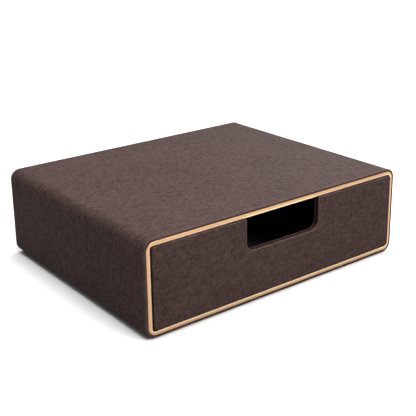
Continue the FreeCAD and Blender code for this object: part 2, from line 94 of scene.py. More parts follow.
class FormSettings(bpy.types.PropertyGroup):
    """Sizes of the skins that the packed model's boxes don't give."""
    case_corner: length("Case corner", "Outside radius of the case's long edges", 11 * MM)
    edge_roll: length("Edge roll", "Radius of leather turned over a board's edge", 0.8 * MM)
    trim_corner: length("Trim inside corner", "Inside corner radius of the trim", 3.0 * MM)
    trim_bevel: length("Trim bevel", "Width of the trim's outer bevel; the inner one has half", 0.5 * MM)
    trim_edge: length("Trim edge", "Height of the trim's edges above its seat", 0.7 * MM)
    trim_swell: length("Trim swell", "How far the trim's crown swells in its middle", 0.10 * MM)
    panel_corner: length("Front corner", "Corner radius of the drawer front", 3.4 * MM)
    notch_corner: length("Notch corner", "Radius of the finger notch's lower corners", 10 * MM)
    notch_shoulder: length("Notch shoulder", "Rounding of the notch's upper corners", 1.1 * MM)
    crease: length("Crease", "Radius of the drawer front's rear edge, where it meets the tray", 0.9 * MM)
    tray_roll: length("Tray roll", "Radius of the leather over the tray's walls", 0.5 * MM)
    tray_edge: length("Tray lower edge", "Radius of the tray's lower edges", 2.0 * MM)
    tray_skin: length("Tray leather", "Thickness of the leather on the tray", 0.6 * MM)
    felt_corner: length("Felt corner", "Corner radius of the felt underneath", 6 * MM)
    slack: length("Slack", "How far glued leather lies unevenly on its board", 0.12 * MM)
    pleat: length("Pleat", "Depth of the pleats in the leather's rear corners", 0.18 * MM)


class LeatherSettings(bpy.types.PropertyGroup):
    """Linen-embossed leather."""
    # The ground colour also serves as the painted shade in creases.
    ground: colour("Ground", "Colour between the threads and in creases", (0.0072, 0.0042, 0.0037))
    thread: colour("Thread", "Colour of the raised threads", (0.0680, 0.0404, 0.0367))
    spacing: length("Thread spacing", "Distance between embossed threads", 0.8 * MM)
    relief: length("Relief", "Height of the embossing", 0.10 * MM)
    roughness: share("Roughness", "Roughness of the leather", 0.75)
    gloss: share("Gloss", "Strength of the leather's reflections", 0.05)


class TrimSettings(bpy.types.PropertyGroup):
    """Champagne-gold trim."""
    tint: colour("Tint", "Colour of the satin metal", (0.525, 0.315, 0.165))
    # Painted highlight: the pale colour along the trim's inner ridge.
    worn_and_highlit: colour("Ridge highlight", "Colour of the rubbed edges", (0.80, 0.64, 0.45))
    # Painted shade: the dark colour of the trim's side down in the gap round the drawer.
    gap_shade: colour("Gap shade", "Colour of the metal down in the gap round the drawer", (0.05, 0.03, 0.02))
    roughness: share("Roughness", "Roughness of the satin metal", 0.42)


class ClothSettings(bpy.types.PropertyGroup):
    """Velvet linings, the felt underneath and the boards."""
    velvet: colour("Velvet", "Colour of the velvet", (0.010, 0.008, 0.010))
    nap: colour("Nap", "Colour of velvet brushed the other way", (0.022, 0.018, 0.022))
    felt: colour("Felt", "Colour of the felt", (0.020, 0.019, 0.020))
    board: colour("Board", "Colour of the fibreboard", (0.36, 0.24, 0.14))
    # Painted shade: the dark colour of the board ends in the gap at the mouth of the case.
    end_shade: colour("End shade", "Colour of the stained board ends at the front", (0.012, 0.008, 0.007))


class StudioSettings(bpy.types.PropertyGroup):
    """Camera, lights and floor."""
    azimuth: angle("Azimuth", "Camera's direction round the box, 0 in front", radians(-37.605))
    elevation: angle("Elevation", "Camera's height above the horizon", radians(17.850))
    roll: angle("Roll", "Camera's turn about its own line of sight", radians(-0.780))
    distance: length("Distance", "From the camera to the point it looks at", 0.94841)
    look_right: length("Look right", "That point, right of the middle of the box", 0.0088)
    look_up: length("Look up", "That point, above the floor", 0.09749)
    focal_px: pixels("Focal length", "Focal length in pixels of the frame", 856.7)
    drop_px: pixels("Lens drop", "How far the view is cut out below the lens's axis", 40.0)
    floor: share("Floor", "Whiteness of the floor", 0.5)
    far_floor: share("Far floor", "Whiteness of the floor from 3 m away, where little light falls", 1.0)
    ceiling_light: watts("Ceiling light", "Power of the wide light overhead", 37.0)
    overhead_light: watts("Overhead light", "Power of the small light overhead", 27.0)
    front_light: watts("Front light", "Power of the light above the front", 73.0)
    side_light: watts("Side light", "Power of the light at the right and rear", 63.5)
    far_light: watts("Far light", "Power of the light over the floor far behind", 80.0)
    surround: share("Surround", "Brightness of the room round the box", 0.3)


# ---- Paths and profiles ----

def arc(centre, radius, start, turn, steps):
    """Points of a circular arc, (steps + 1, 2): centre plus radius times (cos t, sin t), where t goes
    from start through turn."""
    t = start + turn * np.linspace(0, 1, steps + 1)
    return np.column_stack([centre[0] + radius * np.cos(t), centre[1] + radius * np.sin(t)])


def run(start, end, steps):
    """Evenly spaced points of a straight line, both ends included, (steps + 1, values)."""
    t = np.linspace(0, 1, steps + 1)[:, None]
    return np.asarray(start) * (1 - t) + np.asarray(end) * t


def legs(start, *parts):
    """Values that move evenly, part by part, to the end values of each part (steps, *end values)."""
    rows = [np.array([start], float)]
    for steps, *end in parts:
        rows.append(run(rows[-1][-1], end, steps)[1:])
    return np.vstack(rows)


def chain(*pieces):
    """One line through pieces that follow on from each other, each shared point kept once."""
    kept = [pieces[0]]
    for piece in pieces[1:]:
        touching = np.allclose(piece[0], kept[-1][-1], atol=1e-9)
        kept.append(piece[1:] if touching else piece)
    return np.vstack(kept)


def along(points, closed=False):
    """Distance travelled along a line of points; a closed one ends with its whole length."""
    line = np.vstack([points, points[:1]]) if closed else points
    return np.concatenate([[0], np.cumsum(np.linalg.norm(np.diff(line, axis=0), axis=1))])


def surface(x, y, z):
    """Points (profile, path, 3) from coordinates that broadcast to (profile, path)."""
    return np.stack(np.broadcast_arrays(x, y, z), -1)


def fading(distance, reach, full=1.0):
    """A mark that fades with distance: full less distance / reach, kept between 0 and 1."""
    return np.clip(full - distance / reach, 0, 1)


class Loop:
    """A rounded rectangle as a path, anticlockwise from the middle of its lower side.

    Point u is (across * (half width - r) + r * cos t, lower centre + lift * (height - 2 r) + r * sin t):
    across and lift move the centre of the rounding along the straight sides, where the direction t
    stands still, and t turns a quarter in each corner, where the centre stands still. Any inset and
    radius r use the same u, so rings of different insets join into a clean surface. With a gap share
    the loop stays open, by that share of the lower side on both sides of its middle.
    """

    def __init__(self, corner_steps, wide_steps, high_steps, gap_share=0.0):
        half = wide_steps // 2
        places = legs(
            (gap_share, 0, -1), (half, 1, 0, -1), (corner_steps, 1, 0, 0), (high_steps, 1, 1, 0),
            (corner_steps, 1, 1, 1), (wide_steps, -1, 1, 1), (corner_steps, -1, 1, 2),
            (high_steps, -1, 0, 2), (corner_steps, -1, 0, 3), (half, -gap_share, 0, 3))
        self.across, self.lift, quarters = (places if gap_share else places[:-1]).T
        self.turn = quarters * QUARTER

    def rings(self, half_width, low, high, insets, radii):
        """x and z of the rings for arrays of insets and radii, each (profile points, path points)."""
        radii = np.reshape(radii, (-1, 1))
        kept_off = np.reshape(insets, (-1, 1)) + radii
        x = self.across * (half_width - kept_off) + radii * np.cos(self.turn)
        z = low + kept_off + self.lift * (high - low - 2 * kept_off) + radii * np.sin(self.turn)
        return x, z


def corner_path(corners, corner_steps, spacing, closed=True):
    """A path of straight runs and quarter-circle corners, and the directions that point out of it.

    corners lists (x, z, radius). In a corner with way in a and way out b the centre is the corner
    + (b - a) r and the points are centre - b r cos t + a r sin t for t from 0 to a quarter turn; the
    outward direction is the way forward turned clockwise. The ends of an open path have radius 0.
    """
    spots, radii = np.split(np.array(corners, float), [2], axis=1)
    ways = np.roll(spots, -1, axis=0) - spots
    ways /= np.linalg.norm(ways, axis=1)[:, None]
    points, forward = [], []
    count = len(spots)
    for k in range(count):
        a, b, r = ways[k - 1], ways[k], radii[k]
        t = np.linspace(0, QUARTER, corner_steps + 1)[:, None]
        if not closed and k in (0, count - 1):
            a = b = a if k else b
            t = t[:1]
        points.append(spots[k] + (b - a) * r - b * r * np.cos(t) + a * r * np.sin(t))
        forward.append(b * np.sin(t) + a * np.cos(t))
        if k < count - 1 or closed:
            following = (k + 1) % count
            start, end = points[-1][-1], spots[following] - b * radii[following]
            steps = max(1, int(np.ceil(np.linalg.norm(end - start) / spacing)))
            points.append(run(start, end, steps)[1:-1])
            forward.append(np.tile(b, (steps - 1, 1)))
    forward = np.vstack(forward)
    return np.vstack(points), np.column_stack([forward[:, 1], -forward[:, 0]])


def rectangle(left, right, bottom, top, corner):
    """Corners (x, height, radius) of a rounded rectangle, anticlockwise from the lower right."""
    return [(right, bottom, corner), (right, top, corner), (left, top, corner), (left, bottom, corner)]


def carry(path, outward, profile):
    """A profile (inset, depth) carried along a path: the path moved in by each inset, across and up, with
    the depth between them."""
    inset, depth = profile.T[..., None]
    return path[:, 0] - inset * outward[:, 0], depth, path[:, 1] - inset * outward[:, 1]


def stretch_marks(u, v, seed):
    """Uneven lie of glued leather, from 0 to 1: half of 1 plus the mean of four slow sine waves of
    different length, way and phase."""
    draw = np.random.default_rng(seed)
    total = np.zeros(np.broadcast(u, v).shape)
    for wave_length in (0.19, 0.11, 0.07, 0.043):
        way, phase = draw.uniform(0, 2 * pi, 2)
        total += np.sin(2 * pi * (u * cos(way) + v * sin(way)) / wave_length + phase)
    return 0.5 + total / 8


# ---- Meshes ----

class Skin:
    """Vertices, faces, texture places and marks of wear and painted light of one piece, gathered surface
    by surface.
    """

    def __init__(self):
        self.vertices, self.faces, self.places, self.marks = [], [], [], []
        self.first = self.count = 0

    def add_grid(self, points, u, v, marks=0.0, close_path=False, close_profile=False, flip=False):
        """A surface from points (profile, path, 3); u and v give the texture place of each path and
        profile point, with one more where that direction closes; marks are marks of wear and painted
        light, one for all, one for each profile point or one for each point."""
        rows, columns = points.shape[:2]
        j, i = np.meshgrid(np.arange(rows if close_profile else rows - 1),
                           np.arange(columns if close_path else columns - 1), indexing="ij")
        j2, i2 = (j + 1) % rows, (i + 1) % columns
        quads = np.stack([j * columns + i, j * columns + i2, j2 * columns + i2, j2 * columns + i], -1)
        places = np.stack([np.stack([u[i], u[i + 1], u[i + 1], u[i]], -1),
                           np.stack([v[j], v[j], v[j + 1], v[j + 1]], -1)], -1)
        if flip:
            quads, places = quads[..., ::-1], places[..., ::-1, :]
        self.vertices.append(points.reshape(-1, 3))
        self.faces.extend((quads.reshape(-1, 4) + self.count).tolist())
        self.places.append(places.reshape(-1, 2))
        marks = np.reshape(marks, (rows, -1)) if np.ndim(marks) else marks
        self.marks.append(np.broadcast_to(marks, (rows, columns)).ravel())
        self.first, self.count = self.count, self.count + rows * columns

    def add_cap(self, ids, places, flip):
        """One flat face over vertices of the last grid."""
        way = -1 if flip else 1
        self.faces.append((self.first + ids)[::way].tolist())
        self.places.append(np.asarray(places)[::way])

    def cap_ends(self, profile, columns, flip=False):
        """Flat faces over both ends of an open path, in the outline of its profile."""
        for column, turned in ((0, not flip), (columns - 1, flip)):
            self.add_cap(np.arange(len(profile)) * columns + column, profile, turned)

    def cap_rims(self, points, axes, flip=False):
        """Flat faces over the first and last profile points of a closed path, laid out on two axes."""
        rows, columns = points.shape[:2]
        for row, turned in ((0, not flip), (rows - 1, flip)):
            self.add_cap(row * columns + np.arange(columns), points[row][:, axes], turned)

    def make(self, name, body, slot, *replaced, weld=False):
        """Make the object in its slot's finish, riding on a body and standing for the nodes that it
        replaces. weld joins vertices that lie on each other, such as a rim that two grids share."""
        mesh = bpy.data.meshes.new(name)
        mesh.from_pydata(np.vstack(self.vertices).tolist(), [], self.faces)
        layer = mesh.uv_layers.new(name="Lay")
        layer.data.foreach_set("uv", np.vstack(self.places).astype(np.float32).ravel())
        # Each point keeps its mark: above 0 for wear and a painted highlight, below 0 for painted shade.
        rubbed = mesh.attributes.new("rubbed", "FLOAT", "POINT")
        rubbed.data.foreach_set("value", np.concatenate(self.marks).astype(np.float32))
        mesh.materials.append(FINISHES[slot]())
        mesh.shade_smooth()
        mesh.set_sharp_from_angle(angle=radians(40))
        work = bmesh.new()
        work.from_mesh(mesh)
        inside_out = work.calc_volume(signed=True) < 0
        if weld:
            bmesh.ops.remove_doubles(work, verts=work.verts, dist=1e-7)
            work.to_mesh(mesh)
        work.free()
        if inside_out or mesh.validate():
            raise RuntimeError(f"{name} is inside out or has broken faces")
        piece = bpy.data.objects.new(name, mesh)
        bpy.context.scene.collection.objects.link(piece)
        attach(piece, body)
        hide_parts(*replaced)


# ---- Materials ----

def give(tree, node, inputs):
    """Link each input of a node whose value is a socket and set the others, colours as opaque."""
    for name, value in inputs.items():
        socket = node.inputs[name]
        if isinstance(value, bpy.types.NodeSocket):
            tree.links.new(value, socket)
        else:
            socket.default_value = (*value, 1.0) if socket.type == "RGBA" else value


def add_node(tree, kind, inputs, **settings):
    """Add a shader node with its inputs and settings, and return its outputs."""
    node = tree.nodes.new("ShaderNode" + kind)
    for name, value in settings.items():
        setattr(node, name, value)
    give(tree, node, inputs)
    return node.outputs


def maths(tree, operation, *values):
    """The output of a Math node with its first inputs given."""
    return add_node(tree, "Math", dict(enumerate(values)), operation=operation)[0]


def noise(tree, place, scale, detail, output="Fac", noise_dimensions="3D", **inputs):
    """An output of a noise that is read at a place."""
    inputs |= {"Vector": place, "Scale": scale, "Detail": detail}
    return add_node(tree, "TexNoise", inputs, noise_dimensions=noise_dimensions)[output]


def remap(tree, value, low=0.0, high=1.0, to_low=0.0, to_high=1.0):
    """A value carried from the range low to high into another, and kept inside it."""
    return add_node(tree, "MapRange", dict(enumerate((value, low, high, to_low, to_high))))[0]


def mix_colours(tree, factor, first, second):
    """The output of a colour mix, from first at 0 to second at 1; its colours are inputs 6 and 7."""
    return add_node(tree, "Mix", {0: factor, 6: first, 7: second}, data_type="RGBA", clamp_factor=True)[2]


def group_named(name, inputs, outputs):
    """Decorator: the function gives each output of a shader node group a value. The group is built at the
    first call and found by its name after that. An input is a number with its default, or a vector where
    the default is None; every output is a number."""
    def decorate(work_out):
        @wraps(work_out)
        def find_or_build():
            group = bpy.data.node_groups.get(name)
            if not group:
                group = bpy.data.node_groups.new(name, "ShaderNodeTree")
                for label, default in inputs.items():
                    kind = "NodeSocketVector" if default is None else "NodeSocketFloat"
                    socket = group.interface.new_socket(name=label, in_out="INPUT", socket_type=kind)
                    if default is not None:
                        socket.default_value = default
                for label in outputs:
                    group.interface.new_socket(name=label, in_out="OUTPUT", socket_type="NodeSocketFloat")
                given = group.nodes.new("NodeGroupInput").outputs
                results = work_out(group, given)
                give(group, group.nodes.new("NodeGroupOutput"), dict(zip(outputs, results)))
            return group
        return find_or_build
    return decorate


def material_named(name):
    """Decorator: the function gives the inputs of a material's Principled shader their values. The
    material is made at the first call and found by its name after that."""
    def decorate(work_out):
        @wraps(work_out)
        def find_or_make():
            material = bpy.data.materials.get(name)
            if not material:
                material = bpy.data.materials.new(name)
                material.use_nodes = True
                tree = material.node_tree
                give(tree, tree.nodes["Principled BSDF"], work_out(tree))
            return material
        return find_or_make
    return decorate


@group_named(
    "linen_emboss",
    {"Place": None, "Spacing": 0.0008, "Thread Length": 9.0, "Slub Width": 1.0, "Slub Length": 12.0},
    ("Relief", "Tone", "Cloud"))
def linen_group(group, given):
    """Linen embossing, its places counted in threads.

    With s = sin(pi u) and w = sin(pi v) the relief is |s| (1 + s w) / 2 + |w| (1 - s w) / 2, threads
    that go over and under each other in turn, and all of them wander a little. Each thread is thicker or
    thinner along its length: a noise that is read once across a thread and slowly along it. Slubs, where
    neighbouring threads swell together, are a noise stretched along the thread both ways. The tone is
    brighter on thick threads, and on their crowns as a painted highlight, which leaves the ground between
    the threads darker as painted shade; the cloud is a slow unevenness.
    """
    other_way, thread_step = 57.3, 7.31
    wander_scale, wander_reach, cloud_scale = 0.045, (1.6, 1.6, 0.0), 0.012
    # Painted highlight and shade: the tone rises with the relief, from the ground to the threads' crowns.
    ground_tone, crown_highlight_tone, thread_tone, slub_tone, slub_relief = 0.17, 0.3, 0.7, 0.35, 0.5
    value = partial(maths, group)
    per_metre = value("DIVIDE", 1.0, given["Spacing"])
    counted = add_node(group, "VectorMath", {0: given["Place"], "Scale": per_metre}, operation="SCALE")[0]
    wander = noise(group, counted, wander_scale, detail=1.0, output="Color", noise_dimensions="2D")
    bent = add_node(group, "VectorMath", {0: wander, 1: wander_reach, 2: counted},
                    operation="MULTIPLY_ADD")[0]
    place = add_node(group, "SeparateXYZ", {0: bent})

    def drawn_out(across, way, stretch, offset):
        """Where the noise is read: close together across the threads and slowly along them."""
        travel = value("DIVIDE", place[way], given[stretch])
        return add_node(group, "CombineXYZ", {"X": across, "Y": travel, "Z": offset})[0]

    waves, threads, slubs = [], [], []
    for own, other, offset in (("X", "Y", 0.0), ("Y", "X", other_way)):
        waves.append(value("SINE", value("MULTIPLY", place[own], pi)))
        number = value("MULTIPLY", value("FLOOR", place[own]), thread_step)
        spot = drawn_out(number, other, "Thread Length", offset)
        along_thread = noise(group, spot, scale=1.0, detail=2.0, Roughness=0.6)
        threads.append(remap(group, along_thread, low=0.32, high=0.68))
        spot = drawn_out(value("DIVIDE", place[own], given["Slub Width"]), other, "Slub Length", offset)
        slubs.append(remap(group, noise(group, spot, scale=1.0, detail=1.0), low=0.3, high=0.7))
    crossing = value("MULTIPLY", *waves)
    reliefs = []
    for wave, sign, thread in zip(waves, (0.5, -0.5), threads):
        over = value("MULTIPLY_ADD", crossing, sign, 0.5)
        thick = value("ADD", thread, 0.5)
        reliefs.append(value("MULTIPLY", value("MULTIPLY", value("ABSOLUTE", wave), over), thick))
    weave, swelling = value("ADD", *reliefs), value("ADD", *slubs)
    thickness = value("MULTIPLY", value("ADD", *threads), thread_tone)
    # The tone: a painted highlight that follows the relief, times the thickness of threads and slubs.
    tone = value("MULTIPLY", value("MULTIPLY_ADD", weave, crown_highlight_tone, ground_tone),
                 value("MULTIPLY_ADD", swelling, slub_tone, thickness))
    cloud = noise(group, counted, cloud_scale, detail=3.0, noise_dimensions="2D")
    return value("MULTIPLY_ADD", swelling, slub_relief, weave), tone, cloud


@group_named("edge_wear", {"Rubbed": 0.0, "Place": None, "Scale": 400.0, "Cover": 0.0}, ("Wear",))
def wear_and_highlight_group(group, given):
    """Edge wear and painted highlight: the piece's mark of wear and painted light broken up by a noise of
    the given scale. Cover is added to the noise, so that at 1 nothing of the mark is broken up."""
    broken = noise(group, given["Place"], given["Scale"], detail=4.0)
    broken = remap(group, broken, low=0.35, high=0.7)
    covered = maths(group, "MINIMUM", maths(group, "ADD", broken, given["Cover"]), 1.0)
    return (maths(group, "MULTIPLY", given["Rubbed"], covered),)


@group_named("short_pile", {"Place": None, "Fibre Scale": 2600.0, "Nap Scale": 38.0}, ("Relief", "Nap"))
def pile_group(group, given):
    """Short pile: fine fibre noise over slow patches where the nap lies the other way."""
    fibre_part, patch_part = 0.45, 0.55
    fibre = noise(group, given["Place"], given["Fibre Scale"], detail=2.0)
    patches = noise(group, given["Place"], given["Nap Scale"], detail=3.0, Distortion=0.8)
    patches = remap(group, patches, low=0.38, high=0.66)
    nap = maths(group, "MULTIPLY_ADD", fibre, fibre_part, maths(group, "MULTIPLY", patches, patch_part))
    return fibre, nap


def bumped(tree, height, distance):
    """A normal that stands off by a relief."""
    return add_node(tree, "Bump", {"Height": height, "Distance": distance, "Strength": 1.0})[0]


def object_place(tree):
    """The point of the surface in the frame's own metres."""
    return add_node(tree, "TexCoord", {})["Object"]


def skin_marks(tree):
    """What a skin carries: the place in its lay and its mark of wear and painted light."""
    return (add_node(tree, "UVMap", {}, uv_map="Lay")[0],
            add_node(tree, "Attribute", {}, attribute_name="rubbed")["Fac"])


def scaled_colour(base, factor):
    """A colour made darker or paler, at most 1 in each part."""
    return tuple(min(1.0, part * factor) for part in base)


@material_named("linen_leather")
def leather_material(tree):
    """Brown leather embossed like linen, painted a little paler where it turns over an edge, as wear and
    as a painted highlight, and painted dark as shade where its mark is a crease."""
    cloud, worn_highlight_share, worn_highlight_gain, crease_shade_share, swing = 0.14, 0.8, 1.4, 0.9, 0.08
    leather = chosen("leather")
    lay, rubbed = skin_marks(tree)
    linen = add_node(tree, "Group", {"Place": lay, "Spacing": leather.spacing}, node_tree=linen_group())
    wear_and_highlight = add_node(tree, "Group", {"Rubbed": rubbed, "Place": lay, "Scale": 700.0, "Cover": 0.35},
                    node_tree=wear_and_highlight_group())[0]
    tone = maths(tree, "ADD", linen["Tone"],
                 maths(tree, "MULTIPLY_ADD", linen["Cloud"], cloud, -0.5 * cloud))
    dyed = mix_colours(tree, tone, leather.ground, leather.thread)
    # Wear and painted highlight: a paler thread colour where the mark is above 0.
    worn_and_highlit = mix_colours(tree, maths(tree, "MULTIPLY", wear_and_highlight, worn_highlight_share), dyed,
                       scaled_colour(leather.thread, worn_highlight_gain))
    # Painted shade: towards the ground colour where the mark is below 0, in creases and grooves.
    crease = maths(tree, "MULTIPLY", rubbed, -crease_shade_share)
    rough, smooth = leather.roughness + swing, leather.roughness - swing
    return {"Base Color": mix_colours(tree, crease, worn_and_highlit, leather.ground),
            "Roughness": remap(tree, tone, to_low=rough, to_high=smooth),
            "Specular IOR Level": leather.gloss,
            "Normal": bumped(tree, linen["Relief"], leather.relief)}


@material_named("satin_gilt")
def trim_material(tree):
    """Satin champagne-gold metal, drawn lengthwise, with a painted highlight on its ridge and painted
    shade where its mark is negative."""
    line_stretch, line_depth, swing = (60.0, 9000.0, 1.0), 0.012 * MM, 0.07
    trim = chosen("trim")
    lay, rubbed = skin_marks(tree)
    drawn = add_node(tree, "Mapping", {"Vector": lay, "Scale": line_stretch})[0]
    lines = noise(tree, drawn, scale=1.0, detail=3.0)
    wear_and_highlight = add_node(tree, "Group", {"Rubbed": rubbed, "Place": lay, "Scale": 300.0, "Cover": 0.5},
                    node_tree=wear_and_highlight_group())[0]
    # Painted highlight on the ridge, where the mark is above 0.
    tint = mix_colours(tree, wear_and_highlight, trim.tint, trim.worn_and_highlit)
    smooth, rough = trim.roughness - swing, trim.roughness + swing
    # Painted shade on the side in the gap, where the mark is below 0.
    return {"Base Color": mix_colours(tree, maths(tree, "MULTIPLY", rubbed, -1.0), tint, trim.gap_shade),
            "Roughness": remap(tree, lines, to_low=smooth, to_high=rough), "Metallic": 1.0,
            "Normal": bumped(tree, lines, line_depth)}


def cloth(tree, dark, light, fibre_scale, nap_scale, relief, sheen):
    """Velvet or felt: a pile with paler patches where the nap is brushed the other way."""
    pile = add_node(tree, "Group", {"Place": object_place(tree), "Fibre Scale": fibre_scale,
                                    "Nap Scale": nap_scale}, node_tree=pile_group())
    return {"Base Color": mix_colours(tree, pile["Nap"], dark, light), "Roughness": 0.95,
            "Specular IOR Level": 0.2, "Sheen Weight": sheen, "Sheen Roughness": 0.4,
            "Normal": bumped(tree, pile["Relief"], relief)}


@material_named("pile_velvet")
def velvet_material(tree):
    """Black velvet of the linings."""
    return cloth(tree, chosen("cloth").velvet, chosen("cloth").nap, fibre_scale=2600.0, nap_scale=38.0,
                 relief=0.08 * MM, sheen=0.12)


@material_named("pressed_felt")
def felt_material(tree):
    """Pressed black felt under the case."""
    felt, paler = chosen("cloth").felt, 1.8
    return cloth(tree, felt, scaled_colour(felt, paler), fibre_scale=1500.0, nap_scale=90.0,
                 relief=0.12 * MM, sheen=0.05)


@material_named("fibreboard")
def board_material(tree):
    """Raw fibreboard: warm brown with short pressed fibres and darker specks, and painted shade on the
    ends at the mouth of the case, where y is less than the line of that shade."""
    fibre_stretch, fibre_depth, speck = (500.0, 1400.0, 1400.0), 0.06 * MM, 0.55
    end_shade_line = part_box("drawer_front_wall")[0].y + 0.2 * MM
    board, place = chosen("cloth").board, object_place(tree)
    pressed = add_node(tree, "Mapping", {"Vector": place, "Scale": fibre_stretch})[0]
    fibres = noise(tree, pressed, scale=1.0, detail=5.0, Roughness=0.65)
    raw = mix_colours(tree, fibres, scaled_colour(board, speck), board)
    # Painted shade on the board ends in the gap round the drawer front.
    shaded = maths(tree, "LESS_THAN", add_node(tree, "SeparateXYZ", {0: place})["Y"], end_shade_line)
    return {"Base Color": mix_colours(tree, shaded, raw, chosen("cloth").end_shade), "Roughness": 0.85,
            "Normal": bumped(tree, fibres, fibre_depth)}


FINISHES = {"brown_leather": leather_material, "gilt_trim": trim_material, "black_velvet": velvet_material,
            "base_felt": felt_material}


# ---- Pieces of the case ----

def make_case_wrap():
    """One sheet round the sleeve. Path: the rounded rectangle of the case from one side of the butt
    seam underneath to the other. Profile (inset, y): from the inside of the front lip over its rolled
    edge, back along the outside, over the rear edge to the rear lip and home along the boards. The
    outside sags by the stretch marks, and the rear lip is gathered into small pleats in its corners."""
    form = chosen("form")
    low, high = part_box("case_leather_wrap")
    board_low, board_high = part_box("case_left_board")
    skin = board_low.x - low.x
    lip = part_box("front_trim")[0].x - low.x
    rear_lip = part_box("case_back_board")[0].x - low.x
    front, rear, roll = low.y, high.y, form.edge_roll
    cut, tightest, seam = 0.25 * MM, 0.3 * MM, 0.15 * MM
    profile = chain(
        [(lip, board_low.y)],
        arc((lip - cut, front + cut), cut, 0, -QUARTER, 3),
        run((lip - cut, front), (roll, front), 2),
        arc((roll, front + roll), roll, -QUARTER, -QUARTER, 6),
        run((0, front + roll), (0, rear - roll), 70),
        arc((roll, rear - roll), roll, pi, -QUARTER, 6),
        run((roll, rear), (rear_lip - cut, rear), 5),
        arc((rear_lip - cut, rear - cut), cut, QUARTER, -QUARTER, 3),
        [(rear_lip, board_high.y), (skin, board_high.y), (skin, board_low.y)])
    inset, y = profile.T
    half_width, corner = high.x, form.case_corner
    loop = Loop(corner_steps=10, wide_steps=80, high_steps=22, gap_share=seam / (half_width - corner))
    x, z = loop.rings(half_width, low.z, high.z, inset, np.maximum(corner - inset, tightest))
    u = along(np.vstack(loop.rings(half_width, low.z, high.z, 0, corner)).T)
    v = along(profile, closed=True)

    sag_reach, still, wear_highlight_reach, wear_and_highlight = 12 * MM, 0.01 * MM, 1.2 * MM, 0.3
    outside = (inset < 2 * still) & (y > front + roll / 2) & (y < rear - roll / 2)
    sag = form.slack * stretch_marks(u, v[:-1, None], seed=11) * (
        np.clip(np.minimum(y - front, rear - y) / sag_reach, 0, 1) * outside)[:, None]
    on_rear_lip = (np.abs(y - rear) < still)[:, None]
    pleats = form.pleat * np.sin(2 * loop.turn) ** 2 * np.abs(np.sin(6 * loop.turn)) * on_rear_lip
    # Wear and painted highlight: paler near the front and rear edge rolls.
    from_edge = np.minimum(np.hypot(inset, y - front), np.hypot(inset, rear - y))
    mesh = Skin()
    mesh.add_grid(surface(x - sag * np.cos(loop.turn), y[:, None] - pleats, z - sag * np.sin(loop.turn)),
                  u, v, wear_and_highlight * fading(from_edge, wear_highlight_reach, full=1.6), close_profile=True, flip=True)
    mesh.cap_ends(profile, len(loop.turn))
    mesh.make("case_wrap_skin", "case", "brown_leather", "case_leather_wrap")


def flat_panel(path, outward, front, rear, roll, facing, back_roll=0.0, wear_highlight_path=1.0):
    """A flat sheet with a rolled rim: the path carries a profile (inset, y) over the rim from the face to
    the back, and the face and the back are closed flat. facing is -1 for a face at the front, 1 at the
    rear. The last argument scales the wear and painted highlight of the rim along the path; with a back
    roll, the rim's back is marked for painted shade, as in a crease. Texture places are (x, z), so that
    the weave runs on from the flat face."""
    face, back = (front, rear) if facing < 0 else (rear, front)
    inward = -facing
    small = back_roll or roll * 0.25
    home = max(1.25 * roll, 1.1 * small)
    profile = chain(
        [(home, face)],
        arc((roll, face + inward * roll), roll, facing * QUARTER, facing * QUARTER, 6),
        run((0, face + inward * roll), (0, back - inward * small), 4),
        arc((small, back - inward * small), small, pi, facing * QUARTER, 3),
        [(home, back)])
    inset, y = profile.T
    points = surface(*carry(path, outward, profile))
    # Wear and painted highlight on the rim next to the face.
    marks = (fading(np.abs(inset - roll * 0.3), roll) * (np.abs(y - face) < roll))[:, None] * wear_highlight_path
    if back_roll:
        # Painted shade along the rim's back, where a back roll is given.
        marks = marks - fading(np.abs(y - back), 1.2 * back_roll, full=1.4)[:, None]
    mesh = Skin()
    mesh.add_grid(points, along(path, True), along(profile), marks, close_path=True, flip=facing < 0)
    mesh.places = [points.reshape(-1, 3)[np.ravel(mesh.faces)][:, [0, 2]]]
    mesh.cap_rims(points, [0, 2], flip=facing < 0)
    return mesh


def make_case_back():
    """Leather on the rear panel. Path: a rectangle with slightly rounded corners."""
    corner, roll = 1.4 * MM, 0.6 * MM
    low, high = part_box("case_back_leather")
    path, outward = corner_path(rectangle(low.x, high.x, low.z, high.z, corner), corner_steps=5,
                                spacing=8 * MM)
    flat_panel(path, outward, low.y, high.y, roll, 1).make(
        "case_back_skin", "case", "brown_leather", "case_back_leather")


